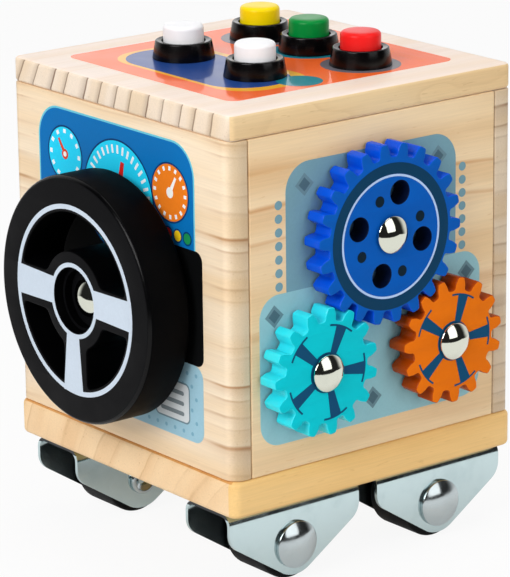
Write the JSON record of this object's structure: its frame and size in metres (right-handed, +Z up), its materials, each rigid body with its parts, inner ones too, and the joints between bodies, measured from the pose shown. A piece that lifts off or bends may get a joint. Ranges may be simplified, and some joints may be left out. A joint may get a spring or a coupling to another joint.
{
  "type": "wooden gear toy",
  "caption": "Wooden activity cube with a turning steering wheel, a train of meshed gears, sprung push buttons on top and roller casters below.",
  "frame": {"origin": "on the floor under the middle of the whole object's footprint", "axes": "+Z up, +X out of the face with the gears, -Y out of the face with the steering wheel"},
  "size_m": [0.1176, 0.1242, 0.1544],
  "materials": {
    "pine": "smooth sanded pale pine, clear satin coat",
    "honey_pine": "warm honey pine, clear satin coat",
    "wheel_black": "satin black moulding",
    "spacer_white": "plain white nylon",
    "nickel": "bright nickel plating",
    "steel": "zinc plated steel",
    "spring_steel": "drawn spring wire",
    "zinc": "bluish bright zinc plating",
    "zinc_bright": "bright zinc plating",
    "roller_black": "black moulded roller",
    "bezel_black": "glossy black moulding",
    "nut_black": "black moulded nut",
    "cap_white": "glossy white",
    "cap_yellow": "glossy yellow",
    "cap_green": "glossy green",
    "cap_red": "glossy red",
    "gear_blue": "glossy royal blue",
    "gear_teal": "glossy cyan teal",
    "gear_orange": "glossy orange"
  },
  "bodies": {
    "body": {"top_panel": "pine", "front_panel": "pine", "back_panel": "pine", "gear_side_panel": "pine", "left_side_panel": "pine", "base_panel": "honey_pine", "steering_bolt": "nickel", "steering_spacer": "spacer_white", "steering_lock_nut": "steel", "big_gear_bolt": "nickel", "big_gear_washer": "steel", "big_gear_lock_nut": "steel", "teal_gear_bolt": "nickel", "teal_gear_washer": "steel", "teal_gear_lock_nut": "steel", "orange_gear_bolt": "nickel", "orange_gear_washer": "steel", "orange_gear_lock_nut": "steel", "button_bezel_white_left": "bezel_black", "button_spring_white_left": "spring_steel", "button_nut_white_left": "nut_black", "button_bezel_white_right": "bezel_black", "button_spring_white_right": "spring_steel", "button_nut_white_right": "nut_black", "button_bezel_yellow": "bezel_black", "button_spring_yellow": "spring_steel", "button_nut_yellow": "nut_black", "button_bezel_green": "bezel_black", "button_spring_green": "spring_steel", "button_nut_green": "nut_black", "button_bezel_red": "bezel_black", "button_spring_red": "spring_steel", "button_nut_red": "nut_black", "caster_housing_front_right": "zinc", "caster_axle_rivet_front_right": "zinc_bright", "caster_housing_front_left": "zinc", "caster_axle_rivet_front_left": "zinc_bright", "caster_housing_rear_right": "zinc", "caster_axle_rivet_rear_right": "zinc_bright", "caster_housing_rear_left": "zinc", "caster_axle_rivet_rear_left": "zinc_bright"},
    "steering_wheel": {"steering_wheel": "wheel_black"},
    "big_gear": {"big_gear": "gear_blue"},
    "teal_gear": {"teal_gear": "gear_teal"},
    "orange_gear": {"orange_gear": "gear_orange"},
    "cap_white_left": {"button_cap_white_left": "cap_white"},
    "cap_white_right": {"button_cap_white_right": "cap_white"},
    "cap_yellow": {"button_cap_yellow": "cap_yellow"},
    "cap_green": {"button_cap_green": "cap_green"},
    "cap_red": {"button_cap_red": "cap_red"},
    "roller_front_right": {"caster_roller_front_right": "roller_black"},
    "roller_front_left": {"caster_roller_front_left": "roller_black"},
    "roller_rear_right": {"caster_roller_rear_right": "roller_black"},
    "roller_rear_left": {"caster_roller_rear_left": "roller_black"}
  },
  "joints": [
    {"name": "steering_turn", "type": "hinge", "parent": "body", "child": "steering_wheel", "pos_m": [-0.00453, -0.05468, 0.0825], "axis": [0, -1, 0], "continuous": true},
    {"name": "big_gear_turn", "type": "hinge", "parent": "body", "child": "big_gear", "pos_m": [0.05223, 0.00782, 0.1026], "axis": [1, 0, 0], "continuous": true},
    {"name": "teal_gear_turn", "type": "hinge", "parent": "body", "child": "teal_gear", "pos_m": [0.05223, -0.01628, 0.06576], "axis": [1, 0, 0], "continuous": true},
    {"name": "orange_gear_turn", "type": "hinge", "parent": "body", "child": "orange_gear", "pos_m": [0.05223, 0.03193, 0.06576], "axis": [1, 0, 0], "continuous": true},
    {"name": "press_white_left", "type": "slide", "parent": "body", "child": "cap_white_left", "axis": [0, 0, -1], "range_m": [0, 0.003], "stiffness_N_per_m": 400, "springref_m": -0.0025, "deforming": ["button_spring_white_left"]},
    {"name": "press_white_right", "type": "slide", "parent": "body", "child": "cap_white_right", "axis": [0, 0, -1], "range_m": [0, 0.003], "stiffness_N_per_m": 400, "springref_m": -0.0025, "deforming": ["button_spring_white_right"]},
    {"name": "press_yellow", "type": "slide", "parent": "body", "child": "cap_yellow", "axis": [0, 0, -1], "range_m": [0, 0.003], "stiffness_N_per_m": 400, "springref_m": -0.0025, "deforming": ["button_spring_yellow"]},
    {"name": "press_green", "type": "slide", "parent": "body", "child": "cap_green", "axis": [0, 0, -1], "range_m": [0, 0.003], "stiffness_N_per_m": 400, "springref_m": -0.0025, "deforming": ["button_spring_green"]},
    {"name": "press_red", "type": "slide", "parent": "body", "child": "cap_red", "axis": [0, 0, -1], "range_m": [0, 0.003], "stiffness_N_per_m": 400, "springref_m": -0.0025, "deforming": ["button_spring_red"]},
    {"name": "roll_front_right", "type": "hinge", "parent": "body", "child": "roller_front_right", "pos_m": [0.03397, -0.01948, 0.0112], "axis": [1, 0, 0], "continuous": true},
    {"name": "roll_front_left", "type": "hinge", "parent": "body", "child": "roller_front_left", "pos_m": [-0.04152, -0.01948, 0.0112], "axis": [1, 0, 0], "continuous": true},
    {"name": "roll_rear_right", "type": "hinge", "parent": "body", "child": "roller_rear_right", "pos_m": [0.03397, 0.03612, 0.0112], "axis": [1, 0, 0], "continuous": true},
    {"name": "roll_rear_left", "type": "hinge", "parent": "body", "child": "roller_rear_left", "pos_m": [-0.04152, 0.03612, 0.0112], "axis": [1, 0, 0], "continuous": true}
  ],
  "couplings": [
    {"joint": "teal_gear_turn", "follows": "big_gear_turn", "ratio": -1.4667},
    {"joint": "orange_gear_turn", "follows": "big_gear_turn", "ratio": -1.4667}
  ]
}
